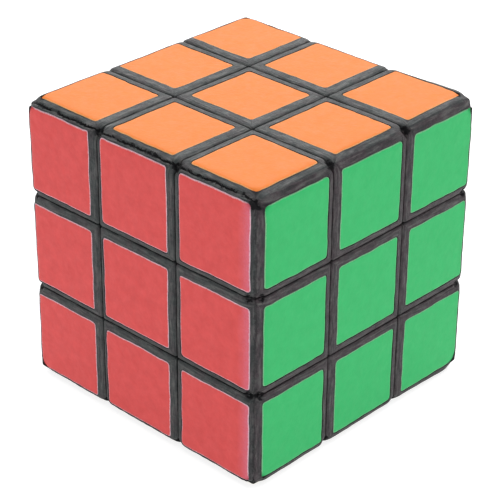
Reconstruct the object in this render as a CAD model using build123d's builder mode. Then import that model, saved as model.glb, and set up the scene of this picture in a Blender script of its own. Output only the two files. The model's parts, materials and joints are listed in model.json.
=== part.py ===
"""A 3 x 3 x 3 twisty puzzle cube that comes apart the way the real one does.

Millimetres. The origin is the centre of the cube, +Z is up, -Y is the front face and +X is the right face.
Six flat cuts, three axes and two spheres shape every moving piece, so each layer is a solid of revolution
about its own axis wherever it meets the layer beside it. Outside the foot sphere the pieces part at the
outer cut. Inside it they part at the inner cut, which lies closer to the centre, so each corner's foot sits
under the edges beside it, and each edge's foot sits under the two centres beside it. The centres are held to
the core by screws with springs under their heads.
"""

import os

from build123d import *

# the cube
CUBE_SIDE = 57.0
PITCH = CUBE_SIDE / 3
HALF = CUBE_SIDE / 2
RUNNING_GAP = 0.2
HALF_GAP = RUNNING_GAP / 2

# where the pieces part
OUTER_CUT = PITCH / 2
INNER_CUT = 6.0
FOOT_SPHERE = 22.5
CORE_SPACE = 15.0

# rounding of the pieces
RIM_RADIUS = 2.8
GROOVE_RADIUS = 1.3
UPRIGHT_RADIUS = 0.6

# coloured tiles, set flush in shallow recesses
TILE_SIDE = 15.7
TILE_CORNER = 1.0
TILE_THICK = 1.0
TILE_CENTRE = 18.9
TILE_PLAY = 0.05
RECESS_SIDE = TILE_SIDE + 2 * TILE_PLAY
RECESS_CORNER = TILE_CORNER + TILE_PLAY
RECESS_FLOOR = HALF - TILE_THICK

# hollow shells
WALL = 1.6
VENT_CORNER = 1.6
VENT_EDGE = 3.0

# core and axles
CORE_BALL = 7.0
BOSS_RADIUS = 5.0
BOSS_TOP = 8.0
POST_RADIUS = 3.1
POST_TOP = 14.0
POST_CHAMFER = 0.4
SCREW_HOLE_BOTTOM = 5.0
SCREW_RADIUS = 1.5
THREAD_PLAY = 0.05

# centre hub
STEM_RADIUS = INNER_CUT - HALF_GAP
STEM_BOTTOM = BOSS_TOP + RUNNING_GAP
BORE_RADIUS = POST_RADIUS + HALF_GAP
CHAMBER_FLOOR = 13.0
CHAMBER_RADIUS = 4.6
POCKET_SIDE = 13.4
POCKET_CORNER = 1.2
POCKET_FLOOR = 25.0

# spring, washer and screw head, stacked outwards from the hub's floor
SPRING_RADIUS = 3.85
WIRE_RADIUS = 0.3
SPRING_TURNS = 4.5
SPRING_BOTTOM = CHAMBER_FLOOR + HALF_GAP
WASHER_BOTTOM = 19.0
WASHER_THICK = 0.8
WASHER_RADIUS = 4.3
HEAD_RADIUS = 3.2
HEAD_HEIGHT = 2.2
HEAD_ROUND = 0.9
SLOT_WIDE = 0.9
SLOT_LONG = 3.8
SLOT_DEEP = 1.3
SCREW_CLEAR = 0.6
SCREW_END = SCREW_HOLE_BOTTOM + SCREW_CLEAR

# the centre cap's snap ring
RING_RADIUS = CHAMBER_RADIUS - TILE_PLAY
RING_BORE = 3.5
RING_BOTTOM = 23.4

# block sizes that follow from the cuts
OUTER_FACE = OUTER_CUT + HALF_GAP
BLOCK_SIDE = HALF - OUTER_FACE
BLOCK_MID = (HALF + OUTER_FACE) / 2
MIDDLE_SIDE = PITCH - RUNNING_GAP
FOOT_FACE = INNER_CUT + HALF_GAP
FOOT_SIDE = 2 * STEM_RADIUS
FOOT_REACH = FOOT_SPHERE - FOOT_FACE
CAVITY_LOW = OUTER_FACE + WALL
CAVITY_HIGH = RECESS_FLOOR - WALL
CAVITY_SIDE = CAVITY_HIGH - CAVITY_LOW
CAVITY_MID = (CAVITY_HIGH + CAVITY_LOW) / 2
WASHER_TOP = WASHER_BOTTOM + WASHER_THICK
SCREW_TOP = WASHER_TOP + HEAD_HEIGHT

# quarter turns that carry one pattern to all of its places
NO_TURN = Location((0, 0, 0), (0, 0, 0))
HALF_TURN_X = Location((0, 0, 0), (180, 0, 0))
QUARTER_TURN_Y = Location((0, 0, 0), (0, 90, 0))
SPIN = [Location((0, 0, 0), (0, 0, 90 * k)) for k in range(4)]

CENTRES = {
    "up": NO_TURN,
    "down": HALF_TURN_X,
    "right": QUARTER_TURN_Y,
    "back": SPIN[1] * QUARTER_TURN_Y,
    "left": SPIN[2] * QUARTER_TURN_Y,
    "front": SPIN[3] * QUARTER_TURN_Y,
}
EDGES = {
    "up_back": NO_TURN,
    "up_left": SPIN[1],
    "up_front": SPIN[2],
    "up_right": SPIN[3],
    "down_front": HALF_TURN_X,
    "down_right": SPIN[1] * HALF_TURN_X,
    "down_back": SPIN[2] * HALF_TURN_X,
    "down_left": SPIN[3] * HALF_TURN_X,
    "back_right": QUARTER_TURN_Y,
    "back_left": SPIN[1] * QUARTER_TURN_Y,
    "front_left": SPIN[2] * QUARTER_TURN_Y,
    "front_right": SPIN[3] * QUARTER_TURN_Y,
}
CORNERS = {
    "up_back_right": NO_TURN,
    "up_back_left": SPIN[1],
    "up_front_left": SPIN[2],
    "up_front_right": SPIN[3],
    "down_front_right": HALF_TURN_X,
    "down_back_right": SPIN[1] * HALF_TURN_X,
    "down_back_left": SPIN[2] * HALF_TURN_X,
    "down_front_left": SPIN[3] * HALF_TURN_X,
}


def write(name, piece):
    piece.part.label = name
    export_step(piece.part, f"parts/{name}.step")


def write_copy(name, pattern, turn):
    """The pattern's shape, carried to its own place on the cube."""
    with BuildPart() as piece:
        with Locations(turn):
            add(pattern.part)
    write(name, piece)


def outer_edges(part, planes):
    """A block's edges, sorted by whether they lie on two of its outer planes, on one, or on none."""
    rims, grooves, uprights = [], [], []
    for edge in part.edges():
        mid = edge.center()
        on = sum(abs(getattr(mid, axis) - HALF) < 0.01 for axis in planes)
        [uprights, grooves, rims][on].append(edge)
    return rims, grooves, uprights


def round_block(block, planes):
    """Wide rounding on the cube's rim, less at the grooves, and a little on the edges that run inwards."""
    for kind, radius in ((0, RIM_RADIUS), (1, GROOVE_RADIUS), (2, UPRIGHT_RADIUS)):
        found = outer_edges(block.part, planes)[kind]
        straight = [edge for edge in found if edge.geom_type == GeomType.LINE]
        if straight:
            fillet(straight, radius)


# ---- the outer blocks, before their feet ----

with BuildPart() as corner_block:
    with Locations((BLOCK_MID, BLOCK_MID, BLOCK_MID)):
        Box(BLOCK_SIDE, BLOCK_SIDE, BLOCK_SIDE)
    round_block(corner_block, "XYZ")

with BuildPart() as edge_block:
    with Locations((0, BLOCK_MID, BLOCK_MID)):
        Box(MIDDLE_SIDE, BLOCK_SIDE, BLOCK_SIDE)
    round_block(edge_block, "YZ")

with BuildPart() as centre_block:
    with Locations((0, 0, BLOCK_MID)):
        Box(MIDDLE_SIDE, MIDDLE_SIDE, BLOCK_SIDE)
    round_block(centre_block, "Z")


# ---- corner: three outer faces, a hollow shell and a foot that three edges hold down ----

with BuildPart() as corner_foot:
    Sphere(FOOT_SPHERE - HALF_GAP)
    Sphere(CORE_SPACE, mode=Mode.SUBTRACT)
    with Locations((FOOT_FACE, FOOT_FACE, FOOT_FACE)):
        Box(FOOT_REACH, FOOT_REACH, FOOT_REACH, align=(Align.MIN, Align.MIN, Align.MIN), mode=Mode.INTERSECT)

with BuildPart() as corner_cavity:
    with Locations((CAVITY_MID, CAVITY_MID, CAVITY_MID)):
        Box(CAVITY_SIDE, CAVITY_SIDE, CAVITY_SIDE)
    Sphere(FOOT_SPHERE + WALL, mode=Mode.SUBTRACT)

CORNER_AXIS = Plane(origin=(0, 0, 0), z_dir=(1, 1, 1))

with BuildPart() as corner_pattern:
    add(corner_block.part)
    Sphere(CORE_SPACE, mode=Mode.SUBTRACT)
    add(corner_foot.part)
    add(corner_cavity.part, mode=Mode.SUBTRACT)
    with BuildSketch(CORNER_AXIS):
        Circle(VENT_CORNER)
    extrude(amount=FOOT_SPHERE + 2 * WALL, mode=Mode.SUBTRACT)
    for face_plane in (Plane.XY, Plane.YZ, Plane.ZX):
        with BuildSketch(face_plane.offset(RECESS_FLOOR)):
            with Locations((TILE_CENTRE, TILE_CENTRE)):
                RectangleRounded(RECESS_SIDE, RECESS_SIDE, RECESS_CORNER)
        extrude(amount=2 * TILE_THICK, mode=Mode.SUBTRACT)


# ---- edge: two outer faces, a hollow shell and a foot that two centres hold down ----

with BuildPart() as edge_foot:
    Sphere(FOOT_SPHERE - HALF_GAP)
    Sphere(CORE_SPACE, mode=Mode.SUBTRACT)
    with Locations((0, FOOT_FACE, FOOT_FACE)):
        Box(FOOT_SIDE, FOOT_REACH, FOOT_REACH, align=(Align.CENTER, Align.MIN, Align.MIN), mode=Mode.INTERSECT)

with BuildPart() as edge_neck:
    with Locations((0, OUTER_FACE, OUTER_FACE)):
        Box(FOOT_SIDE, PITCH / 2, PITCH / 2, align=(Align.CENTER, Align.MIN, Align.MIN))
    Sphere(CORE_SPACE, mode=Mode.SUBTRACT)

with BuildPart() as edge_cavity:
    with Locations((0, CAVITY_MID, CAVITY_MID)):
        Box(MIDDLE_SIDE - 2 * WALL, CAVITY_SIDE, CAVITY_SIDE)
    Sphere(FOOT_SPHERE + WALL, mode=Mode.SUBTRACT)

EDGE_AXIS = Plane(origin=(0, 0, 0), x_dir=(1, 0, 0), z_dir=(0, 1, 1))

with BuildPart() as edge_pattern:
    add(edge_block.part)
    Sphere(FOOT_SPHERE + HALF_GAP, mode=Mode.SUBTRACT)
    add(edge_neck.part)
    add(edge_foot.part)
    add(edge_cavity.part, mode=Mode.SUBTRACT)
    with BuildSketch(EDGE_AXIS):
        Circle(VENT_EDGE)
    extrude(amount=FOOT_SPHERE + 2 * WALL, mode=Mode.SUBTRACT)
    for face_plane, across, along in ((Plane.XY, 0, TILE_CENTRE), (Plane.ZX, TILE_CENTRE, 0)):
        with BuildSketch(face_plane.offset(RECESS_FLOOR)):
            with Locations((across, along)):
                RectangleRounded(RECESS_SIDE, RECESS_SIDE, RECESS_CORNER)
        extrude(amount=2 * TILE_THICK, mode=Mode.SUBTRACT)


# ---- centre hub: a square face on a round stem that turns on the core's post ----

with BuildPart() as hub_pattern:
    add(centre_block.part)
    Sphere(FOOT_SPHERE + HALF_GAP, mode=Mode.SUBTRACT)
    with BuildSketch(Plane.XY.offset(STEM_BOTTOM)):
        Circle(STEM_RADIUS)
    extrude(amount=POCKET_FLOOR - STEM_BOTTOM)
    with BuildSketch(Plane.XY.offset(STEM_BOTTOM)):
        Circle(BORE_RADIUS)
    extrude(amount=CHAMBER_FLOOR - STEM_BOTTOM, mode=Mode.SUBTRACT)
    with BuildSketch(Plane.XY.offset(CHAMBER_FLOOR)):
        Circle(CHAMBER_RADIUS)
    extrude(amount=HALF, mode=Mode.SUBTRACT)
    with BuildSketch(Plane.XY.offset(POCKET_FLOOR)):
        RectangleRounded(POCKET_SIDE, POCKET_SIDE, POCKET_CORNER)
    extrude(amount=HALF, mode=Mode.SUBTRACT)
    with BuildSketch(Plane.XY.offset(RECESS_FLOOR)):
        RectangleRounded(RECESS_SIDE, RECESS_SIDE, RECESS_CORNER)
    extrude(amount=2 * TILE_THICK, mode=Mode.SUBTRACT)


# ---- coloured pieces ----

with BuildPart() as cap_pattern:
    with BuildSketch(Plane.XY.offset(RECESS_FLOOR)):
        RectangleRounded(TILE_SIDE, TILE_SIDE, TILE_CORNER)
    extrude(amount=TILE_THICK)
    with BuildSketch(Plane.XY.offset(RING_BOTTOM)):
        Circle(RING_RADIUS)
        Circle(RING_BORE, mode=Mode.SUBTRACT)
    extrude(amount=RECESS_FLOOR - RING_BOTTOM)

with BuildPart() as corner_tile:
    with BuildSketch(Plane.XY.offset(RECESS_FLOOR)):
        with Locations((TILE_CENTRE, TILE_CENTRE)):
            RectangleRounded(TILE_SIDE, TILE_SIDE, TILE_CORNER)
    extrude(amount=TILE_THICK)
    add(corner_block.part, mode=Mode.INTERSECT)

with BuildPart() as edge_tile:
    with BuildSketch(Plane.XY.offset(RECESS_FLOOR)):
        with Locations((0, TILE_CENTRE)):
            RectangleRounded(TILE_SIDE, TILE_SIDE, TILE_CORNER)
    extrude(amount=TILE_THICK)
    add(edge_block.part, mode=Mode.INTERSECT)

# a third of a turn about the corner's own diagonal carries +Z to +X and +X to +Y
TO_RIGHT_FACE = Location((0, 0, 0), (90, 0, 0)) * Location((0, 0, 0), (0, 90, 0))
TO_BACK_FACE = TO_RIGHT_FACE * TO_RIGHT_FACE
SWAP_FACES = Location((0, 0, 0), (0, 180, 0)) * Location((0, 0, 0), (-90, 0, 0))

with BuildPart() as corner_tiles_pattern:
    with Locations(NO_TURN, TO_RIGHT_FACE, TO_BACK_FACE):
        add(corner_tile.part)

with BuildPart() as edge_tiles_pattern:
    with Locations(NO_TURN, SWAP_FACES):
        add(edge_tile.part)


# ---- core and its hardware ----

with BuildPart() as post_pattern:
    with BuildSketch(Plane.XY):
        Circle(BOSS_RADIUS)
    extrude(amount=BOSS_TOP)
    with BuildSketch(Plane.XY.offset(BOSS_TOP)):
        Circle(POST_RADIUS)
    extrude(amount=POST_TOP - BOSS_TOP)
    chamfer(post_pattern.faces().sort_by(Axis.Z)[-1].edges(), POST_CHAMFER)

with BuildPart() as hole_pattern:
    with BuildSketch(Plane.XY.offset(SCREW_HOLE_BOTTOM)):
        Circle(SCREW_RADIUS + THREAD_PLAY)
    extrude(amount=POST_TOP)

with BuildPart() as core_spider:
    Sphere(CORE_BALL)
    with Locations(*CENTRES.values()):
        add(post_pattern.part)
        add(hole_pattern.part, mode=Mode.SUBTRACT)

with BuildPart() as screw_pattern:
    with BuildSketch(Plane.XY.offset(SCREW_END)):
        Circle(SCREW_RADIUS)
    extrude(amount=WASHER_TOP - SCREW_END)
    with BuildSketch(Plane.XY.offset(WASHER_TOP)):
        Circle(HEAD_RADIUS)
    extrude(amount=HEAD_HEIGHT)
    fillet(screw_pattern.faces().sort_by(Axis.Z)[-1].edges(), HEAD_ROUND)
    with BuildSketch(Plane.XY.offset(SCREW_TOP)):
        Rectangle(SLOT_LONG, SLOT_WIDE)
        Rectangle(SLOT_WIDE, SLOT_LONG)
    extrude(amount=-SLOT_DEEP, mode=Mode.SUBTRACT)

with BuildPart() as washer_pattern:
    with BuildSketch(Plane.XY.offset(WASHER_BOTTOM)):
        Circle(WASHER_RADIUS)
        Circle(SCREW_RADIUS + THREAD_PLAY, mode=Mode.SUBTRACT)
    extrude(amount=WASHER_THICK)

SPRING_FREE = WASHER_BOTTOM - SPRING_BOTTOM - 2 * WIRE_RADIUS
with BuildPart() as spring_pattern:
    with BuildLine(Plane.XY.offset(SPRING_BOTTOM + WIRE_RADIUS)):
        coil = Helix(pitch=SPRING_FREE / SPRING_TURNS, height=SPRING_FREE, radius=SPRING_RADIUS)
    with BuildSketch(Plane(origin=coil @ 0, z_dir=coil % 0)):
        Circle(WIRE_RADIUS)
    sweep()

with BuildPart() as axle_screws:
    with Locations(*CENTRES.values()):
        add(screw_pattern.part)

with BuildPart() as screw_washers:
    with Locations(*CENTRES.values()):
        add(washer_pattern.part)

with BuildPart() as tension_springs:
    with Locations(*CENTRES.values()):
        add(spring_pattern.part)


# ---- every piece, written in its own place ----

os.makedirs("parts", exist_ok=True)
write("core_spider", core_spider)
write("axle_screws", axle_screws)
write("screw_washers", screw_washers)
write("tension_springs", tension_springs)

for place, turn in CENTRES.items():
    write_copy(f"centre_hub_{place}", hub_pattern, turn)
    write_copy(f"centre_cap_{place}", cap_pattern, turn)
for place, turn in EDGES.items():
    write_copy(f"edge_{place}", edge_pattern, turn)
    write_copy(f"edge_{place}_tiles", edge_tiles_pattern, turn)
for place, turn in CORNERS.items():
    write_copy(f"corner_{place}", corner_pattern, turn)
    write_copy(f"corner_{place}_tiles", corner_tiles_pattern, turn)
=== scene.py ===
import json
import math

import bmesh
import bpy
import numpy as np
from mathutils import Matrix, Vector

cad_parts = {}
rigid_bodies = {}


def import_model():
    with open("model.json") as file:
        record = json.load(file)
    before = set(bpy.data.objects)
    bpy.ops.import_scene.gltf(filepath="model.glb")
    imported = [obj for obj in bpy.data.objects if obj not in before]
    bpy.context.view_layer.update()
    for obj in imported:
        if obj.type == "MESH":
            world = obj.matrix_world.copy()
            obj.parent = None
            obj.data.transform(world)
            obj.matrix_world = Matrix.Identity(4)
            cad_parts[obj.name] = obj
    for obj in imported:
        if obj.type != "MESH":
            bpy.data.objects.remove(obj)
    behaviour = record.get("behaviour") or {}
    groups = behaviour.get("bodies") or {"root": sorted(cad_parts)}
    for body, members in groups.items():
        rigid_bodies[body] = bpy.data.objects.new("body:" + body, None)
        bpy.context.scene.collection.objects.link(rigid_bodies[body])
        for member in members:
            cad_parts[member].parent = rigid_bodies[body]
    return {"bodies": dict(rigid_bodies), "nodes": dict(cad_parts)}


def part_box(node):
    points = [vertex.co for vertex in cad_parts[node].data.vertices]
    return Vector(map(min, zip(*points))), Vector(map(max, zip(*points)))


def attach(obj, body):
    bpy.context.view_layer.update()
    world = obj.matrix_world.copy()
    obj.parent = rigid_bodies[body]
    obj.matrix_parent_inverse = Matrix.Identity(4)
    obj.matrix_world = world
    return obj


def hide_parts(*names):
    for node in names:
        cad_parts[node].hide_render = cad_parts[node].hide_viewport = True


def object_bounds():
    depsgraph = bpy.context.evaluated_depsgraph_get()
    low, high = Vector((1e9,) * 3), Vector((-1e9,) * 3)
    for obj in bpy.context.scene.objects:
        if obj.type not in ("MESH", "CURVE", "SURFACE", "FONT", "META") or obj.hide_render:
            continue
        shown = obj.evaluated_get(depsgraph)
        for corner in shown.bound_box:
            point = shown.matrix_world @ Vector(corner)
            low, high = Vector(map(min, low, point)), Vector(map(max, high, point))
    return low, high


# The looks of a 3 x 3 x 3 twisty puzzle cube. +Z is up, -Y is the front face and +X is the right face.
# One corner, one edge and one centre are modelled, and turned to each place they fill. What makes every block
# different (wandering outlines, a worn skin, a parting line) is a function of where a point lies on the whole
# cube, so a tile and the recess round it always agree. Lengths are millimetres until a mesh is written.
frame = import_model()
cad_low, cad_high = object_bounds()

MM = 0.001
TINY = 1e-9

# ---- sizes read from the frame ----
HALF = cad_high.x / MM
PITCH = 2 * HALF / 3
TILE_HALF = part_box("centre_cap_up")[1].x / MM
TILE_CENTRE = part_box("corner_up_back_right_tiles")[0].x / MM + TILE_HALF
HALF_GAP = PITCH / 2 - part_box("edge_up_back")[1].x / MM
FOOT_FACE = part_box("corner_up_back_right")[0].x / MM
STEM_RADIUS = FOOT_FACE - 2 * HALF_GAP
STEM_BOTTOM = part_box("centre_hub_up")[0].z / MM
RING_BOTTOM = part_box("centre_cap_up")[0].z / MM

# ---- the blocks ----
SHOWN_GAP = 0.05  # from the cut to each block beside it
MIDDLE_HALF = PITCH / 2 - SHOWN_GAP
BLOCK_LOW = PITCH / 2 + SHOWN_GAP
RIM = 2.8  # rounding of the whole cube's edges
SHARP_RIM = 1.6
GROOVE_WIDE = 1.5  # half the groove over a cut
GROOVE_DEEP = 0.48
UPRIGHT = 0.5  # rounding of the edges that point outwards
CORNER_REACH = 47.0  # from the cube's middle to its rounded corners
CORNER_SOFT = 0.8
# the rim grows sharper towards the bottom, by this share, and fully towards the back right edge
LOW_SHARE = 0.5
LOW_START, LOW_REACH = 0.4 * HALF, 0.5 * HALF
FAR_START, FAR_REACH = 1.2 * HALF, 0.6 * HALF

# ---- the tiles and their recesses ----
TILE_CORNER = 0.6
TILE_THICK = 1.0
TILE_PLAY = 0.04  # between a tile and the side of its recess
RECESS_DEEP = TILE_THICK + 0.02
CROWN = 0.05  # how far a tile's middle stands up over its edge
TILE_DOWN = 0.02  # how far a tile lies under the skin beside it

# ---- the feet, vents and hubs ----
FOOT_ROUND = 0.4
FOOT_SPHERE = 22.5
FOOT_END = 0.85 * FOOT_SPHERE
CORE_SPACE = 15.0  # radius kept free for the core
CORNER_FOOT_MIDDLE = 10.8
EDGE_FOOT_MIDDLE = 13.2
VENT_CORNER = 1.6
VENT_CORNER_START = 5.0
VENT_EDGE = 3.0
VENT_EDGE_START = 8.0
VENT_END = 25.7
STEM_CHAMFER = 0.3
BORE_RADIUS = 3.2
CHAMBER_FLOOR = 13.0
CHAMBER_RADIUS = 4.6
POCKET_HALF = 6.7
POCKET_CORNER = 1.2
POCKET_FLOOR = 25.0
RING_PLAY = 0.05
RING_WALL = 1.05
RING_BEVEL = 0.2
RING_ROOT = 0.3  # how far the ring reaches into the back of its tile
PAST = 1.0  # how far a cutting tool stands out past what it cuts

# ---- mesh steps: points along each side of a square, and round a circle ----
SIDE_STEPS = 36
TILE_STEPS = 28
FOOT_STEPS = 14
PRISM_STEPS = 8
ROUND_STEPS = 64
CORNER_VENT_STEPS = 32
EDGE_VENT_STEPS = 48
BALL_STEPS = 48  # from pole to pole, and twice as many round it
HALVINGS = 34  # of a ray, to find where it leaves an outline
BLOCK_CAST, FOOT_CAST = 1.6, 1.9  # how far rays are followed, in lengths of the ray
WELD = 1e-4  # points closer than this are one
SLIVER = 0.01  # edges shorter than this are taken out
SHARP_ANGLE = 40  # degrees between faces, above which an edge is drawn sharp
# rings of a block's side, as shares of the way in from its boundary, with a tile recess and without
OPEN_RINGS = (0, 0.03, 0.08, 0.17, 0.32, 0.5, 0.68, 0.84, 0.94, 1.0)
PLAIN_RINGS = (0, 0.015, 0.04, 0.09, 0.16, 0.3, 0.6)
LEAN_END = 0.3  # the share at which the rays of a plain side stand upright
RECESS_RINGS = ((0, 0.25), (0, RECESS_DEEP), (0.4, RECESS_DEEP))
FOOT_RINGS = (0, 0.06, 0.15, 0.3, 0.5, 0.75)
# tile rings: share of the half size, and depth under the skin
TILE_RINGS = (
    [(share, 0.0) for share in (0.12, 0.3, 0.5, 0.68, 0.82, 0.9, 0.945)]
    + [(0.97, 0.006), (0.984, 0.022), (0.993, 0.05), (0.998, 0.09), (1.0, 0.15)]
    + [(1.0, 0.4), (1.0, TILE_THICK - 0.06), (0.992, TILE_THICK)]
    + [(0.6, TILE_THICK), (0.2, TILE_THICK)]
)

# ---- names ----
FACES = {
    "up": (0, 0, 1),
    "down": (0, 0, -1),
    "right": (1, 0, 0),
    "left": (-1, 0, 0),
    "back": (0, 1, 0),
    "front": (0, -1, 0),
}
SLOTS = {
    "up": "tile_orange",
    "front": "tile_red",
    "right": "tile_green",
    "left": "tile_blue",
    "back": "tile_white",
    "down": "tile_yellow",
}
BLOCKS = sorted(body for body in frame["bodies"] if body != "core")


def directions(name):
    """The faces that a block or body lies on, from its name."""
    return [word for word in name.split("_") if word in FACES]


# ---- random relief ----
class Waves:
    """Smooth random relief: a seeded sum of plane waves, about -1 to 1."""

    def __init__(self, seed, wavelength, count=16):
        random = np.random.default_rng(seed)
        heading = random.normal(size=(count, 3))
        heading /= np.linalg.norm(heading, axis=1)[:, None]
        length = wavelength * random.uniform(0.6, 1.6, count)
        self.k = heading * (2 * math.pi / length)[:, None]
        self.phase = random.uniform(0, 2 * math.pi, count)
        self.scale = 1 / math.sqrt(count)

    def __call__(self, points):
        return np.sin(points @ self.k.T + self.phase).sum(axis=1) * self.scale


swell = Waves(11, 9.0)
ripple = Waves(12, 2.4)
grain = Waves(13, 1.1)
wander_u = Waves(21, 5.0)
wander_v = Waves(22, 5.0)
jitter_u = Waves(23, 1.6)
jitter_v = Waves(24, 1.6)
tear = Waves(31, 1.3)
tear_deep = Waves(32, 3.2)


# ---- outline functions: how far a point is outside, negative inside ----
def round_max(a, b, radius):
    """What is inside both outlines, with the edge between them rounded."""
    corner = np.hypot(np.maximum(a + radius, 0), np.maximum(b + radius, 0))
    return np.minimum(np.maximum(a, b), -radius) + corner


def groove_max(side, face):
    """A cut side meets the outer face in a shoulder that is wider than it is deep."""
    corner = np.hypot(np.maximum(side / GROOVE_WIDE + 1, 0), np.maximum(face / GROOVE_DEEP + 1, 0))
    on_shoulder = (side > -GROOVE_WIDE) & (face > -GROOVE_DEEP)
    return np.where(on_shoulder, (corner - 1) * GROOVE_DEEP, np.maximum(side, face))


def rounded_outline(points, half, radius):
    """A square or cube whose corners have this radius, which may differ from point to point."""
    q = np.abs(points) - (half - radius)
    return np.linalg.norm(np.maximum(q, 0), axis=1) + np.minimum(q.max(axis=1), 0) - np.ravel(radius)


def cube_outline(points):
    """The whole cube with its rounded rim and rather rounder corners."""
    reach = np.linalg.norm(points, axis=1) - CORNER_REACH
    return round_max(rounded_outline(points, HALF, RIM), reach, CORNER_SOFT)


def tile_outline(flat):
    """A tile, in the plane of its face."""
    return rounded_outline(flat, TILE_HALF, TILE_CORNER)


def three_cuts(cuts, radius):
    """What is inside three cuts at right angles, with the edges between them rounded."""
    return round_max(round_max(cuts[0], cuts[1], radius), cuts[2], radius)


def block_outline(outward):
    """A block of the outer layers; outward lists which of x, y and z it has an outer face on."""
    def outline(p):
        cuts = [BLOCK_LOW - p[:, a] if a in outward else np.abs(p[:, a]) - MIDDLE_HALF for a in range(3)]
        return groove_max(three_cuts(cuts, UPRIGHT), cube_outline(p))
    return outline


def foot_outline(outward):
    """The foot that holds a corner or an edge in, between two spheres and its flat sides."""
    def outline(p):
        cuts = [FOOT_FACE - p[:, a] if a in outward else np.abs(p[:, a]) - STEM_RADIUS for a in range(3)]
        radius = np.linalg.norm(p, axis=1)
        lump = round_max(three_cuts(cuts, FOOT_ROUND), radius - (FOOT_SPHERE - HALF_GAP), FOOT_ROUND)
        if len(outward) == 2:
            reach = np.maximum(p[:, outward[0]], p[:, outward[1]]) - PITCH
            neck = np.maximum(np.maximum(BLOCK_LOW - p[:, outward].min(axis=1), reach), cuts[0])
            lump = np.minimum(lump, neck)
        return round_max(lump, CORE_SPACE - radius, FOOT_ROUND)
    return outline


# ---- mesh building ----
def beyond(values, start, reach):
    """0 up to start, rising to 1 over the reach."""
    return np.clip((values - start) / reach, 0, 1)


def ease(share):
    """Takes the corners out of a rise from 0 to 1."""
    return share * share * (3 - 2 * share)


def axes(normal):
    """A right-handed frame whose third axis is the face's outward normal."""
    n = np.array(normal, float)
    u = np.array([0, 0, 1.0]) if abs(n[2]) < 0.5 else np.array([0, 1.0, 0])
    return np.array([u, np.cross(n, u), n])


def lift(flat, height):
    """Flat points raised to one height."""
    return np.column_stack([flat, np.full(len(flat), height)])


def circle(radius, segments):
    angle = np.arange(segments) / segments * 2 * math.pi
    return np.column_stack([radius * np.cos(angle), radius * np.sin(angle)])


def ring(side_steps):
    """Points round the square from -1 to 1, closer together near its corners."""
    x = np.arange(side_steps) / side_steps * 2 - 1
    s = (x + np.sin(x * math.pi / 2)) / 2
    one = np.ones_like(s)
    return np.concatenate([
        np.column_stack([s, -one]),
        np.column_stack([one, s]),
        np.column_stack([-s, one]),
        np.column_stack([-one, -s]),
    ])


def rounded(square, half, radius):
    """The square's points carried to a square with rounded corners."""
    q = square * half
    inner = np.clip(q, radius - half, half - radius)
    outside = q - inner
    length = np.maximum(np.linalg.norm(outside, axis=1), TINY)[:, None]
    return inner + outside / length * radius


def skin(rings, ends=(True, True)):
    """Points and faces of a skin through equally long rings, closed at the ends that are asked for."""
    count = len(rings[0])
    points = [*rings]
    faces = []
    for k in range(len(rings) - 1):
        for i in range(count):
            j = (i + 1) % count
            faces.append((k * count + i, k * count + j, (k + 1) * count + j, (k + 1) * count + i))
    total = len(rings) * count
    for end, at, flip in ((ends[0], 0, True), (ends[1], len(rings) - 1, False)):
        if end:
            points.append(rings[at].mean(axis=0)[None])
            for i in range(count):
                pair = (at * count + i, at * count + (i + 1) % count)
                faces.append((total, *(pair[::-1] if flip else pair)))
            total += 1
    return np.concatenate(points), faces


def make_mesh(name, parts):
    """One mesh from several skins, welded where they meet."""
    mesh = bpy.data.meshes.new(name)
    points, faces, first = [], [], 0
    for part_points, part_faces in parts:
        points.append(part_points)
        faces += [tuple(first + i for i in face) for face in part_faces]
        first += len(part_points)
    mesh.from_pydata(np.concatenate(points).tolist(), [], faces)
    work = bmesh.new()
    work.from_mesh(mesh)
    bmesh.ops.remove_doubles(work, verts=work.verts, dist=WELD)
    bmesh.ops.recalc_face_normals(work, faces=work.faces)
    work.to_mesh(mesh)
    work.free()
    return mesh


def cast(outline, start, toward, reach):
    """Where rays from start towards each point leave the outline, within this many times their length."""
    near = np.zeros(len(toward))
    far = np.full(len(toward), reach)
    for _ in range(HALVINGS):
        t = (near + far) / 2
        inside = outline(start + (toward - start) * t[:, None]) < 0
        near = np.where(inside, t, near)
        far = np.where(inside, far, t)
    return start + (toward - start) * near[:, None]


def block_side(outline, n, centre, half, outward):
    """One side of a block, cast from the middle of the block, with a tile recess if it is an outer face."""
    middle, size = n @ centre, np.abs(n @ half)
    square = ring(SIDE_STEPS)
    boundary = square * size[:2] + middle[:2]
    is_open = int(np.argmax(np.abs(n[2]))) in outward and n[2].sum() > 0
    if is_open:
        spot = np.array([TILE_CENTRE if abs(n[k]).argmax() in outward else 0 for k in (0, 1)])
        spot = spot * np.sign(middle[:2] + TINY)
        target = rounded(square, TILE_HALF + TILE_PLAY, TILE_CORNER + TILE_PLAY) + spot
    else:
        target = np.zeros_like(boundary) + middle[:2]
    rings = []
    for share in OPEN_RINGS if is_open else PLAIN_RINGS:
        flat = boundary + (target - boundary) * share
        lean = ease(min(1, share / (1 if is_open else LEAN_END)))
        start = lift(middle[:2] + (flat - middle[:2]) * lean, middle[2])
        end = lift(flat, middle[2] + size[2])
        rings.append(cast(outline, start @ n, end @ n, BLOCK_CAST))
    if is_open:
        for shrink, depth in RECESS_RINGS:
            rings.append(lift(target + (spot - target) * shrink, HALF - depth) @ n)
    return skin(rings, (False, True))


def star_block(name, outline, low, high, outward):
    """A closed block made of six sides."""
    low, high = np.array(low, float), np.array(high, float)
    centre, half = (low + high) / 2, (high - low) / 2
    sides = [block_side(outline, axes(normal), centre, half, outward) for normal in FACES.values()]
    return make_mesh(name, sides)


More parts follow.
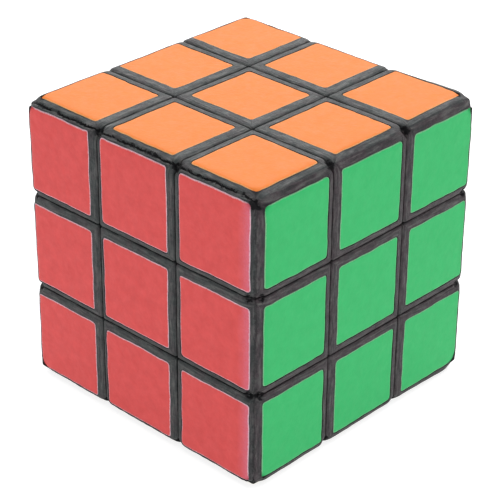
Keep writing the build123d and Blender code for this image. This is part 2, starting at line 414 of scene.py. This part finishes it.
def star_foot(name, outline, centre, low, high):
    """A closed foot cast from its middle."""
    centre, low, high = (np.array(v, float) for v in (centre, low, high))
    square = ring(FOOT_STEPS)
    sides = []
    for normal in FACES.values():
        n = axes(normal)
        middle, size = n @ ((low + high) / 2), np.abs(n @ ((high - low) / 2))
        rings = []
        for share in FOOT_RINGS:
            flat = square * size[:2] * (1 - share) + middle[:2]
            rings.append(cast(outline, centre, lift(flat, middle[2] + size[2]) @ n, FOOT_CAST))
        points, faces = skin(rings, (False, True))
        points[-1] = cast(outline, centre, points[-1:], FOOT_CAST)[0]
        sides.append((points, faces))
    return make_mesh(name, sides)


def lathe(name, profile, axis=(0, 0, 1), segments=ROUND_STEPS):
    """A closed solid of revolution; profile lists (radius, height) from one end of the axis to the other."""
    n = axes(axis)
    n = n / np.linalg.norm(n, axis=1)[:, None]
    n[0] = np.cross(n[1], n[2])
    return make_mesh(name, [skin([lift(circle(radius, segments), height) @ n for radius, height in profile])])


def square_prism(name, half, low, high):
    """A square bar with rounded corners, along z."""
    square = rounded(ring(PRISM_STEPS), half, POCKET_CORNER)
    return make_mesh(name, [skin([lift(square, height) for height in (low, high)])])


def ball(name, radius):
    polar = [math.pi * (k + 0.5) / BALL_STEPS for k in range(BALL_STEPS)]
    profile = [(radius * math.sin(angle), -radius * math.cos(angle)) for angle in polar]
    return lathe(name, profile, segments=2 * BALL_STEPS)


def clean(mesh):
    """Splits the many-sided faces that a cut leaves into triangles, and takes out those with no area."""
    work = bmesh.new()
    work.from_mesh(mesh)
    bmesh.ops.triangulate(work, faces=[face for face in work.faces if len(face.verts) > 4])
    bmesh.ops.dissolve_degenerate(work, dist=SLIVER, edges=work.edges)
    bmesh.ops.triangulate(work, faces=[face for face in work.faces if len(face.verts) > 4])
    work.to_mesh(mesh)
    work.free()
    return mesh


def combine(mesh, tool, operation):
    """The mesh with the tool joined to it or cut from it."""
    made = [bpy.data.objects.new("work", m) for m in (mesh, tool)]
    for o in made:
        bpy.context.scene.collection.objects.link(o)
    step = made[0].modifiers.new("step", "BOOLEAN")
    step.object, step.operation, step.solver = made[1], operation, "EXACT"
    depsgraph = bpy.context.evaluated_depsgraph_get()
    result = bpy.data.meshes.new_from_object(made[0].evaluated_get(depsgraph))
    for o in made:
        bpy.data.objects.remove(o)
    for m in (mesh, tool):
        bpy.data.meshes.remove(m)
    return clean(result)


# ---- the three patterns ----
def corner_pattern():
    every = [0, 1, 2]
    body = star_block("corner_shell", block_outline(every), [BLOCK_LOW] * 3, [HALF] * 3, every)
    foot = star_foot("corner_foot", foot_outline(every),
                     [CORNER_FOOT_MIDDLE] * 3, [FOOT_FACE] * 3, [FOOT_END] * 3)
    vent = lathe("vent", [(VENT_CORNER, VENT_CORNER_START), (VENT_CORNER, VENT_END)],
                 axis=(1, 1, 1), segments=CORNER_VENT_STEPS)
    return combine(combine(body, foot, "UNION"), vent, "DIFFERENCE")


def edge_pattern():
    outward = [1, 2]
    low, high = [-MIDDLE_HALF, BLOCK_LOW, BLOCK_LOW], [MIDDLE_HALF, HALF, HALF]
    body = star_block("edge_shell", block_outline(outward), low, high, outward)
    body = combine(body, ball("ball", FOOT_SPHERE + HALF_GAP), "DIFFERENCE")
    foot = star_foot("edge_foot", foot_outline(outward), [0, EDGE_FOOT_MIDDLE, EDGE_FOOT_MIDDLE],
                     [-STEM_RADIUS, FOOT_FACE, FOOT_FACE], [STEM_RADIUS, PITCH, PITCH])
    vent = lathe("vent", [(VENT_EDGE, VENT_EDGE_START), (VENT_EDGE, VENT_END)],
                 axis=(0, 1, 1), segments=EDGE_VENT_STEPS)
    return combine(combine(body, foot, "UNION"), vent, "DIFFERENCE")


def centre_pattern():
    low, high = [-MIDDLE_HALF, -MIDDLE_HALF, BLOCK_LOW], [MIDDLE_HALF, MIDDLE_HALF, HALF]
    stem = [
        (STEM_RADIUS - STEM_CHAMFER, STEM_BOTTOM),
        (STEM_RADIUS, STEM_BOTTOM + STEM_CHAMFER),
        (STEM_RADIUS, POCKET_FLOOR),
    ]
    bore = [
        (BORE_RADIUS, STEM_BOTTOM - PAST),
        (BORE_RADIUS, CHAMBER_FLOOR),
        (CHAMBER_RADIUS, CHAMBER_FLOOR),
        (CHAMBER_RADIUS, POCKET_FLOOR + PAST),
    ]
    body = star_block("centre_shell", block_outline([2]), low, high, [2])
    body = combine(body, ball("ball", FOOT_SPHERE + HALF_GAP), "DIFFERENCE")
    body = combine(body, lathe("stem", stem), "UNION")
    body = combine(body, lathe("bore", bore), "DIFFERENCE")
    return combine(body, square_prism("pocket", POCKET_HALF, POCKET_FLOOR, HALF + PAST), "DIFFERENCE")


def turn_to(block):
    """The rotation that carries a pattern to its block: columns are where x, y and z go."""
    index = np.sum([FACES[d] for d in directions(block)], axis=0)
    flat = [a for a in range(3) if index[a] == 0]
    full = [a for a in range(3) if index[a] != 0]
    columns = np.zeros((3, 3))
    for k, axis in enumerate(flat + full):
        columns[axis, k] = index[axis] or 1
    if np.linalg.det(columns) < 0:
        if flat:
            columns[:, 0] *= -1
        else:
            columns = columns[:, [1, 0, 2]]
    return columns


# ---- where the cube is not quite even, the same for a tile and the shell round it ----
# how much larger than plain each face's squares are, from their middle to their side
GROWTH = {"up": -0.35, "down": 0.0, "front": 0.16, "back": 0.05, "right": 0.0, "left": 0.05}
OUTER_ROW = 22.0  # where the outer row of squares begins to drift on its own
OUTER_REACH = 4.0
WANDER, JITTER = 0.05, 0.022  # how far a square's outline wanders, in long and short waves
OUTLINE_REACH = 0.9  # how far beside a square the skin moves with it
OUTLINE_DEEP = TILE_THICK + 0.1  # how far below the face it does
SUNK, SWELL, RIPPLE, GRAIN = 0.05, 0.022, 0.014, 0.010  # the skin's mean depth, and three sizes of wave in it


def sharpen(points):
    """Carries the rim out to a smaller radius along the bottom, and up the back right edge."""
    low = LOW_SHARE * beyond(-points[:, 2], LOW_START, LOW_REACH)
    far = beyond(points[:, 0] + points[:, 1], FAR_START, FAR_REACH)
    share = np.maximum(low, far)[:, None]
    sharper = rounded_outline(points, HALF, RIM + (SHARP_RIM - RIM) * share)
    push = rounded_outline(points, HALF, RIM) - sharper
    past = np.maximum(np.abs(points) - (HALF - RIM), 0)
    length = np.maximum(np.linalg.norm(past, axis=1), TINY)
    return points + np.sign(points) * past * (push / length)[:, None]


def tile_spot(block, face):
    """The middle of a tile in its face's own two directions."""
    other = np.sum([FACES[d] for d in directions(block) if d != face] or [(0, 0, 0)], axis=0)
    return (axes(FACES[face]) @ (other * TILE_CENTRE))[:2]


def drift(points, face):
    """How far the squares of a face lie off an even grid, as in the photograph, on the faces it shows."""
    x, y, z = points.T
    move = np.zeros_like(points)
    if face == "up":
        move[:, 0] = -0.12
        move[:, 1] = 0.16
    elif face == "front":
        to_cut = (x + PITCH / 2) / 4
        move[:, 0] = -0.15 + 0.25 * beyond(x, OUTER_ROW, OUTER_REACH) - 0.4 * np.exp(-to_cut ** 2)
        move[:, 2] = -0.35 + 0.4 * (z / HALF) ** 2 + 0.2 * np.maximum(z, 0) / HALF
    elif face == "right":
        near, far = beyond(-y, OUTER_ROW, OUTER_REACH), beyond(y, OUTER_ROW, OUTER_REACH)
        top, bottom = beyond(z, OUTER_ROW, OUTER_REACH), beyond(-z, OUTER_ROW, OUTER_REACH)
        move[:, 1] = 0.15 + 0.55 * near * (0.75 + 0.25 * z / HALF) + 0.35 * far
        move[:, 2] = -0.1 - 0.35 * top + 0.3 * bottom
    return move


def shift_sideways(points, block):
    """Moves the outlines of a block's squares across their faces."""
    moved = points.copy()
    for face in directions(block):
        n = axes(FACES[face])
        local = points @ n.T
        flat = local[:, :2] - tile_spot(block, face)
        near = np.clip(1 - tile_outline(flat) / OUTLINE_REACH, 0, 1)
        near = ease(near * (local[:, 2] > HALF - OUTLINE_DEEP))
        move = flat * (GROWTH[face] / TILE_HALF) + (drift(points, face) @ n.T)[:, :2]
        move[:, 0] += WANDER * wander_u(points) + JITTER * jitter_u(points)
        move[:, 1] += WANDER * wander_v(points) + JITTER * jitter_v(points)
        moved += (lift(move, 0) * near[:, None]) @ n
    return moved


def relief(points):
    """How far the skin lies under the plain outline."""
    return SUNK + SWELL * swell(points) + RIPPLE * ripple(points) + GRAIN * grain(points)


# ---- marks on the black skin ----
SKIN = 0.6  # marks reach this deep under the outline
WORN_FROM, WORN_REACH = 1.2, 2.5  # the relief fades away below this depth, over this reach
RIM_EDGE = 0.8  # marks on the rim come in over this reach
SEAM_DEEP, SEAM_WIDE, SEAM_WANDER = 0.3, 0.2, 0.12
SEAM_FAINT = 0.35  # strength of the seam along the upright edges
PIT_DEEP, PIT_LONG, PIT_WIDE, PIT_WANDER = 0.5, 0.85, 0.95, 0.2
PIT_ASIDE = 1.5  # pits on upright edges lie this far off the edge's middle
# a dark moulding mark under the near top corner: its middle and its reach
BLEMISH = np.array((27.1, -28.0, 26.6))
BLEMISH_SIZE = np.array((1.3, 1.6, 0.8))
BAND_LINES = np.array((2.4, 0.22))  # line pattern across and along a band, per millimetre
SHADE_BESIDE_REACH = 0.4  # how soon the painted recess shade beside a tile fades
BOUNCE_START, BOUNCE_REACH = -0.3, 0.6  # the painted plum tint of light reflected onto the right face comes in across its edge
UNDERSIDE_SHADE_START, UNDERSIDE_SHADE_REACH = HALF - 1.9, 0.9  # painted shade darkens the lowest edge from here down


def on_rim(level):
    """1 on the rounded rim, 0 on the flat of a face; level is the second largest coordinate."""
    return np.clip((level - (HALF - RIM)) / RIM_EDGE, 0, 1)


def seam(points):
    """The parting line along the rim of the front and back faces: how far off it is, and how strong."""
    size = np.abs(points)
    side = np.maximum(size[:, 0], size[:, 2])
    across = (size[:, 1] - side) / math.sqrt(2) + SEAM_WANDER * tear_deep(points)
    level = np.clip((size[:, 2] - size[:, 0]) / 3 + 0.5, 0, 1)
    strength = SEAM_FAINT + (1 - SEAM_FAINT) * level
    return across, on_rim(np.minimum(size[:, 1], side)) * strength


def pit(points):
    """Small hollows where the grooves run out over the rim."""
    size = np.sort(np.abs(points), axis=1)
    along = size[:, 0] - PITCH / 2 + PIT_WANDER * tear(points)
    across = (size[:, 2] - size[:, 1]) / math.sqrt(2) + PIT_WANDER * tear_deep(points)
    upright = np.abs(points[:, 2]) < size[:, 1] - 1
    across = np.where(upright, across - PIT_ASIDE, across)
    return np.exp(-(along / PIT_LONG) ** 2 - (across / PIT_WIDE) ** 2) * on_rim(size[:, 1])


def blemish(points):
    """1 in the middle of the moulding mark, fading to 0 round it."""
    off = np.linalg.norm((points - BLEMISH) / BLEMISH_SIZE, axis=1) + 0.25 * tear(points)
    return np.exp(-off ** 2)


def streak(points):
    """Coordinates that run across each band and along it, for the fine ridges moulded along the bands and the
    painted glints and shade lines along them.
    """
    size = np.abs(points)
    face = size.argmax(axis=1)
    rows = np.arange(len(points))
    u, v = (face + 1) % 3, (face + 2) % 3
    to_band = np.minimum(np.abs(size - PITCH / 2), HALF - size)
    swapped = to_band[rows, v] < to_band[rows, u]
    across, along = np.where(swapped, v, u), np.where(swapped, u, v)
    lines = np.column_stack([points[rows, across], points[rows, along]]) * BAND_LINES
    return np.column_stack([lines, 7.0 * face + 3.0 * swapped])


def shade_beside_tile(points, block):
    """Painted recess shade: 1 at a tile's edge, fading to 0 away from it."""
    best = np.zeros(len(points))
    for face in directions(block):
        local = points @ axes(FACES[face]).T
        outside = np.maximum(tile_outline(local[:, :2] - tile_spot(block, face)), 0)
        best = np.maximum(best, np.exp(-outside / SHADE_BESIDE_REACH) * (local[:, 2] > HALF - TILE_THICK))
    return best


# ---- pieces ----
def get_points(mesh):
    flat = np.empty(len(mesh.vertices) * 3, np.float32)
    mesh.vertices.foreach_get("co", flat)
    return flat.reshape(-1, 3).astype(float)


def set_points(mesh, points):
    """Writes the points in metres, none of them outside the cube."""
    points = np.clip(points, -HALF, HALF)
    mesh.vertices.foreach_set("co", (points * MM).astype(np.float32).ravel())
    mesh.update()


def set_attribute(mesh, name, values):
    values = np.asarray(values, np.float32)
    kind, field = ("FLOAT", "value") if values.ndim == 1 else ("FLOAT_VECTOR", "vector")
    mesh.attributes.new(name, kind, "POINT").data.foreach_set(field, values.ravel())


def add(mesh):
    """Puts a mesh in the scene, smooth but for its sharp edges."""
    mesh.shade_smooth()
    mesh.set_sharp_from_angle(angle=math.radians(SHARP_ANGLE))
    made = bpy.data.objects.new(mesh.name, mesh)
    bpy.context.scene.collection.objects.link(made)
    return made


def shell(block, pattern):
    """A block's black shell, turned to its place and marked by where it lies on the cube."""
    mesh = pattern.copy()
    mesh.name = block + "_shell"
    turn = turn_to(block)
    points = get_points(pattern) @ turn.T
    normals = np.empty(len(points) * 3, np.float32)
    pattern.vertex_normals.foreach_get("vector", normals)
    normals = normals.reshape(-1, 3) @ turn.T
    depth = -cube_outline(points)
    near = np.clip(1 - (depth - WORN_FROM) / WORN_REACH, 0, 1)
    skin_deep = depth < SKIN
    across, strength = seam(points)
    strength = strength * skin_deep
    hollow = pit(points) * skin_deep
    to_right = points[:, 0] - np.abs(points[:, 1:]).max(axis=1)
    marks = {
        "across": across,
        "seam": strength,
        # painted shade in the pits, with the dark moulding mark
        "pit": np.maximum(hollow, blemish(points) * skin_deep),
        "streak": streak(points),
        "lined": near,
        # painted recess shade beside the tiles
        "beside": shade_beside_tile(points, block),
        # painted plum tint of reflected light on the right face
        "right_bounce_tint": beyond(to_right, BOUNCE_START, BOUNCE_REACH),
        # painted shade along the cube's lowest edge
        "under": beyond(-points[:, 2], UNDERSIDE_SHADE_START, UNDERSIDE_SHADE_REACH),
    }
    for name, values in marks.items():
        set_attribute(mesh, name, values)
    cut = SEAM_DEEP * strength * np.exp(-(across / SEAM_WIDE) ** 2)
    points = shift_sideways(sharpen(points), block)
    points -= normals * (relief(points) * near + cut + PIT_DEEP * hollow)[:, None]
    set_points(mesh, points)
    return add(mesh)


# the painted lavender reflection on the front squares nearest the right rim comes in over this stretch
SHEEN_START, SHEEN_REACH = 24.8, 2.6


def snap_ring(n):
    """The ring on the back of a centre cap, which clips into its hub."""
    outer, inner = CHAMBER_RADIUS - RING_PLAY, CHAMBER_RADIUS - RING_PLAY - RING_WALL
    top = HALF - TILE_THICK + RING_ROOT
    profile = [
        (inner, top),
        (outer, top),
        (outer, RING_BOTTOM + RING_BEVEL),
        (outer - RING_BEVEL, RING_BOTTOM),
        (inner + RING_BEVEL, RING_BOTTOM),
        (inner, RING_BOTTOM + RING_BEVEL),
    ]
    loops = [lift(circle(radius, ROUND_STEPS), height) @ n for radius, height in profile + profile[:1]]
    return make_mesh("snap_ring", [skin(loops, (False, False))])


def tile(block, face):
    """A coloured square that follows the cube's skin. A centre's has a snap ring on its back."""
    n = axes(FACES[face])
    middle = tile_spot(block, face)
    square = ring(TILE_STEPS)
    rings = []
    for share, down in TILE_RINGS:
        level = lift(rounded(square, TILE_HALF * share, TILE_CORNER * share) + middle, HALF)
        drop = cube_outline(level @ n)
        if down > TILE_THICK / 2:
            drop = np.clip(drop - TILE_THICK / 2, 0, None)
        level[:, 2] -= drop + down
        rings.append(level @ n)
    name = f"{block}_tile_{face}"
    mesh = make_mesh(name, [skin(rings)])
    if block.startswith("centre"):
        mesh = combine(mesh, snap_ring(n), "UNION")
        mesh.name = name
    points = get_points(mesh)
    local = points @ n.T
    flat = local[:, :2] - middle
    moved = shift_sideways(sharpen(points), block)
    top = beyond(local[:, 2], HALF - TILE_THICK, TILE_THICK / 2)
    crown = CROWN * np.clip(1 - (np.abs(flat).max(axis=1) / TILE_HALF) ** 3, 0, 1)
    moved -= np.outer((relief(moved) + TILE_DOWN - crown) * top, n[2])
    set_points(mesh, moved)
    set_attribute(mesh, "edge", -tile_outline(flat))
    # how much of the painted lavender reflection each point of a front square takes
    set_attribute(mesh, "rim_sheen", beyond(points[:, 0], SHEEN_START, SHEEN_REACH) * (face == "front"))
    return add(mesh)


# ---- materials ----
class Look:
    """A Principled material, and short ways to add the nodes that feed it."""

    def __init__(self, name, **constants):
        self.material = bpy.data.materials.new(name)
        self.material.use_nodes = True
        self.nodes = self.material.node_tree.nodes
        self.links = self.material.node_tree.links
        self.surface = self.nodes["Principled BSDF"]
        for key, value in constants.items():
            self.surface.inputs[key.replace("_", " ")].default_value = value

    def feed(self, **sources):
        for key, source in sources.items():
            self.links.new(source, self.surface.inputs[key.replace("_", " ")])

    def add(self, kind, **values):
        made = self.nodes.new(kind)
        for key, value in values.items():
            if key in made.inputs:
                made.inputs[key].default_value = value
            else:
                setattr(made, key, value)
        return made

    def noise(self, scale, detail=4.0, roughness=0.55, place=None):
        """Noise at this many waves per metre, or per unit of another place."""
        made = self.add("ShaderNodeTexNoise", Scale=scale, Detail=detail, Roughness=roughness)
        self.links.new(place or self.add("ShaderNodeTexCoord").outputs["Object"], made.inputs["Vector"])
        return made.outputs["Fac"]

    def attribute(self, name, output="Fac"):
        return self.add("ShaderNodeAttribute", attribute_name=name).outputs[output]

    def remap(self, source, low, high, out_low=0.0, out_high=1.0):
        made = self.nodes.new("ShaderNodeMapRange")
        limits = {"From Min": low, "From Max": high, "To Min": out_low, "To Max": out_high}
        for key, value in limits.items():
            made.inputs[key].default_value = value
        self.links.new(source, made.inputs["Value"])
        return made.outputs["Result"]

    def math(self, operation, *values):
        made = self.add("ShaderNodeMath", operation=operation)
        for socket, value in zip(made.inputs, values):
            if isinstance(value, (int, float)):
                socket.default_value = value
            else:
                self.links.new(value, socket)
        return made.outputs["Value"]

    def mix(self, factor, a, b):
        made = self.add("ShaderNodeMix", data_type="RGBA")
        self.links.new(factor, made.inputs["Factor"])
        sockets = [socket for socket in made.inputs if socket.type == "RGBA"]
        for socket, value in zip(sockets, (a, b)):
            if isinstance(value, tuple):
                socket.default_value = (*value, 1)
            else:
                self.links.new(value, socket)
        return next(socket for socket in made.outputs if socket.type == "RGBA")

    def bump(self, height, distance, over=None):
        made = self.add("ShaderNodeBump", Strength=1.0, Distance=distance)
        self.links.new(height, made.inputs["Height"])
        if over:
            self.links.new(over, made.inputs["Normal"])
        return made.outputs["Normal"]


LAVENDER = (0.62, 0.25, 0.42)


def tile_material(name, colour, deep, halo):
    """Mottled matt plastic with a pale fringe round each square, and a painted lavender reflection near the
    rim where a square has one.
    """
    look = Look(name, Specular_IOR_Level=0.3)
    mottle = look.remap(look.noise(420, 6, 0.65), 0.32, 0.68)
    body = look.mix(mottle, colour, deep)
    sheen_breakup = look.remap(look.noise(2600), 0.35, 0.65, 0.0, 0.55)
    # painted lavender reflection: front squares turn lavender towards the right rim, broken up by noise
    painted_sheen = look.math("MULTIPLY", look.attribute("rim_sheen"), 0.55)
    painted_sheen = look.math("MULTIPLY", painted_sheen, look.math("ADD", sheen_breakup, 0.6))
    body = look.mix(painted_sheen, body, LAVENDER)
    jitter = look.remap(look.noise(3000, 2), 0.3, 0.7, -0.05, 0.05)
    inside = look.math("ADD", look.attribute("edge"), jitter)
    fringe = look.remap(inside, 0.05, 0.24, 1.0, 0.0)
    look.feed(
        Base_Color=look.mix(fringe, body, halo),
        Roughness=look.remap(look.noise(900), 0.3, 0.7, 0.5, 0.62),
        Normal=look.bump(look.noise(1800, 6), 0.00005),
    )
    return look.material


def black_material(name):
    """Black moulded plastic: slate and plum mottle with a painted plum tint of reflected light on the right
    face, painted glints and shade lines along the bands, a dark seam, and painted shade beside the tiles, in
    the pits and along the foot.
    """
    look = Look(name, Specular_IOR_Level=0.28)

    # slate and plum in random patches, with a painted plum tint of reflected light over the right face
    mottle = look.remap(look.noise(1500, 5, 0.7), 0.35, 0.65)
    slate = look.mix(mottle, (0.018, 0.024, 0.025), (0.046, 0.053, 0.052))
    plum = look.mix(mottle, (0.028, 0.018, 0.023), (0.058, 0.044, 0.050))
    patches = look.remap(look.noise(420, 2), 0.38, 0.62, -0.35, 0.35)
    bounce_tint = look.math("MULTIPLY_ADD", look.attribute("right_bounce_tint"), 0.7, 0.2)
    body = look.mix(look.remap(look.math("ADD", bounce_tint, patches), 0, 1), slate, plum)

    # painted pale glints and dark shade lines along the bands, over the moulded ridges, on the outer skin
    # only
    lines = look.noise(1.25, 4.0, 0.65, place=look.attribute("streak", "Vector"))
    lined = look.attribute("lined")
    painted_glints = look.math("MULTIPLY", look.remap(lines, 0.5, 0.66, 0.0, 0.7), lined)
    painted_shade_lines = look.math("MULTIPLY", look.remap(lines, 0.36, 0.48, 0.75, 0.0), lined)
    body = look.mix(painted_glints, body, (0.11, 0.108, 0.104))
    body = look.mix(painted_shade_lines, body, (0.012, 0.014, 0.015))

    # painted shade: darker beside the tiles, as in a recess, and along the cube's lowest edge, underneath
    beside = look.remap(look.attribute("beside"), 0.3, 1.0, 0.0, 0.55)
    body = look.mix(beside, body, (0.016, 0.019, 0.021))
    # painted shade along the cube's lowest edge, underneath
    under = look.math("MULTIPLY", look.attribute("under"), 0.8)
    body = look.mix(under, body, (0.005, 0.005, 0.005))

    # the torn seam, with gaps; painted shade in the pits, and the dark moulding mark
    rough = look.remap(look.noise(1500, 3, 0.7), 0.32, 0.68, -0.3, 0.3)
    off = look.math("ABSOLUTE", look.math("ADD", look.attribute("across"), rough))
    gaps = look.remap(look.noise(700, 3), 0.34, 0.46, 0.35, 1.6)
    strength = look.math("MULTIPLY", look.attribute("seam"), gaps)
    torn = look.math("MULTIPLY", look.remap(off, 0.19, 0.27, 1.0, 0.0), strength)
    body = look.mix(torn, body, (0.003, 0.003, 0.004))
    # painted shade in the pits, and the dark moulding mark
    pit_shade_and_blemish = look.math("MULTIPLY_ADD", rough, 0.8, look.attribute("pit"))
    pit_shade_and_blemish = look.remap(pit_shade_and_blemish, 0.22, 0.5, 0.0, 0.97)
    body = look.mix(pit_shade_and_blemish, body, (0.002, 0.002, 0.003))

    # satin skin, matt in the dark marks
    dull = look.math("MAXIMUM", look.math("MAXIMUM", torn, pit_shade_and_blemish), under)
    satin = look.remap(look.noise(900), 0.35, 0.65, 0.42, 0.6)
    coarse = look.bump(look.noise(900, 5, 0.65), 0.00014)
    ridges = look.bump(lines, 0.00016, over=coarse)
    fine = look.bump(look.noise(3500, 3), 0.00004, over=ridges)
    look.feed(Base_Color=body, Roughness=look.math("MAXIMUM", satin, dull), Normal=fine)
    return look.material


def core_material(name):
    """Natural nylon, a little cloudy, with fine flow lines."""
    look = Look(name, Subsurface_Weight=0.05)
    cloud = look.remap(look.noise(160, 5), 0.35, 0.65)
    look.feed(
        Base_Color=look.mix(cloud, (0.72, 0.72, 0.68), (0.80, 0.79, 0.75)),
        Roughness=look.remap(look.noise(700), 0.3, 0.7, 0.4, 0.55),
        Normal=look.bump(look.noise(1400, 5), 0.00005),
    )
    return look.material


def steel_material(name, bright, dull, smooth, rough):
    """Plated or drawn steel with fine scratches and duller patches."""
    look = Look(name, Metallic=1.0)
    patches = look.remap(look.noise(600, 5, 0.6), 0.35, 0.65)
    look.feed(
        Base_Color=look.mix(patches, bright, dull),
        Roughness=look.remap(look.noise(1800, 6), 0.3, 0.7, smooth, rough),
        Normal=look.bump(look.noise(5000), 0.00002),
    )
    return look.material


# each tile's colour, its deeper mottle and its fringe
TILE_COLOURS = {
    "tile_orange": ((0.725, 0.182, 0.015), (0.70, 0.170, 0.012), (0.74, 0.38, 0.15)),
    "tile_red": ((0.68, 0.069, 0.067), (0.59, 0.051, 0.050), (0.80, 0.56, 0.64)),
    "tile_green": ((0.027, 0.475, 0.139), (0.021, 0.435, 0.122), (0.24, 0.54, 0.30)),
    "tile_blue": ((0.03, 0.13, 0.52), (0.025, 0.12, 0.48), (0.35, 0.45, 0.62)),
    "tile_white": ((0.66, 0.66, 0.64), (0.61, 0.61, 0.60), (0.76, 0.76, 0.76)),
    "tile_yellow": ((0.82, 0.60, 0.05), (0.79, 0.57, 0.045), (0.84, 0.72, 0.38)),
}
tile_looks = {name: tile_material(name + "_look", *colours) for name, colours in TILE_COLOURS.items()}
black = black_material("body_black_look")
hardware_looks = {
    "core_spider": core_material("core_plastic_look"),
    "axle_screws": steel_material("screw_steel_look", (0.66, 0.66, 0.65), (0.56, 0.56, 0.57), 0.22, 0.38),
    "screw_washers": steel_material("washer_steel_look", (0.70, 0.69, 0.66), (0.60, 0.60, 0.59), 0.25, 0.42),
    "tension_springs": steel_material("spring_steel_look", (0.52, 0.52, 0.53), (0.42, 0.42, 0.44), 0.3, 0.45),
}


# ---- the object ----
def dress(thing, material):
    thing.data.materials.clear()
    thing.data.materials.append(material)


for name, cad_node in frame["nodes"].items():
    dress(cad_node, hardware_looks.get(name, black))

patterns = {"corner": corner_pattern(), "edge": edge_pattern(), "centre": centre_pattern()}
for block in BLOCKS:
    kind = block.split("_")[0]
    body = shell(block, patterns[kind])
    dress(body, black)
    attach(body, block)
    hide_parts(block.replace("centre_", "centre_hub_"))
    for face in directions(block):
        piece = tile(block, face)
        dress(piece, tile_looks[SLOTS[face]])
        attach(piece, block)
        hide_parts("centre_cap_" + face if kind == "centre" else block + "_tiles")

# ---- floor and lights, in metres ----
FLOOR_REACH = 4.0
FLOOR_DROP = 0.00005
WORLD_LIGHT = 0.5
WHITE, COOL, WARM = (1, 1, 1), (0.97, 1, 0.99), (1, 0.97, 0.99)


def lay_floor():
    """A pale floor that glows a little, so that the shadow on it stays faint."""
    mesh = bpy.data.meshes.new("floor")
    level = cad_low.z - FLOOR_DROP
    corners = [(x * FLOOR_REACH, y * FLOOR_REACH, level) for x, y in ((-1, -1), (1, -1), (1, 1), (-1, 1))]
    mesh.from_pydata(corners, [], [(0, 1, 2, 3)])
    paper = Look("paper", Base_Color=(0.4, 0.4, 0.4, 1), Roughness=0.9,
                 Emission_Color=(1, 1, 1, 1), Emission_Strength=0.8)
    mesh.materials.append(paper.material)
    made = bpy.data.objects.new("floor", mesh)
    bpy.context.scene.collection.objects.link(made)
    return made


def softbox(name, position, aim, width, height, power, colour=WHITE):
    light = bpy.data.lights.new(name, "AREA")
    light.shape, light.size, light.size_y = "RECTANGLE", width, height
    light.energy, light.color = power, colour
    made = bpy.data.objects.new(name, light)
    made.location = position
    made.rotation_euler = (Vector(aim) - Vector(position)).to_track_quat("-Z", "Y").to_euler()
    bpy.context.scene.collection.objects.link(made)


floor = lay_floor()
world = bpy.data.worlds.new("studio")
bpy.context.scene.world = world
world.use_nodes = True
world.node_tree.nodes["Background"].inputs["Color"].default_value = (*WHITE, 1)
world.node_tree.nodes["Background"].inputs["Strength"].default_value = WORLD_LIGHT
softbox("overhead", (0.02, 0.1, 0.6), (0, 0, 0), 0.55, 0.55, 2.6)
softbox("behind", (-0.42, 0.44, 0.4), (0, 0, 0.02), 0.7, 0.4, 3.0)
softbox("fill_left", (-0.25, -0.6, 0.22), (0, 0, 0), 0.5, 0.4, 0.6, COOL)
softbox("fill_right", (0.62, -0.1, 0.22), (0, 0, 0), 0.5, 0.4, 0.6, WARM)

# ---- camera: azimuth, height above the horizon and roll in degrees, the rest in millimetres ----
AZIMUTH, ELEVATION, ROLL = 43.459, 28.983, 0.414
DISTANCE = 337.85
AIM_RIGHT, AIM_UP = 0.1226, -2.4875
LENS = 131.93
SENSOR = 36
CLIP_NEAR, CLIP_FAR = 0.01, 20  # metres


def place_camera():
    az, el, roll = map(math.radians, (AZIMUTH, ELEVATION, ROLL))
    out = Vector((math.sin(az) * math.cos(el), -math.cos(az) * math.cos(el), math.sin(el)))
    right = (-out).cross(Vector((0, 0, 1))).normalized()
    up = right.cross(-out)
    target = right * AIM_RIGHT + up * AIM_UP
    rolled_right = right * math.cos(roll) + up * math.sin(roll)
    rolled_up = up * math.cos(roll) - right * math.sin(roll)
    place = Matrix((rolled_right, rolled_up, out)).transposed().to_4x4()
    place.translation = (target + out * DISTANCE) * MM
    lens = bpy.data.cameras.new("camera")
    lens.lens, lens.sensor_width, lens.clip_start, lens.clip_end = LENS, SENSOR, CLIP_NEAR, CLIP_FAR
    made = bpy.data.objects.new("camera", lens)
    made.matrix_world = place
    bpy.context.scene.collection.objects.link(made)
    return made


bpy.context.scene.camera = place_camera()
bpy.context.scene.view_settings.view_transform = "Standard"
bpy.context.scene.view_settings.look = "None"
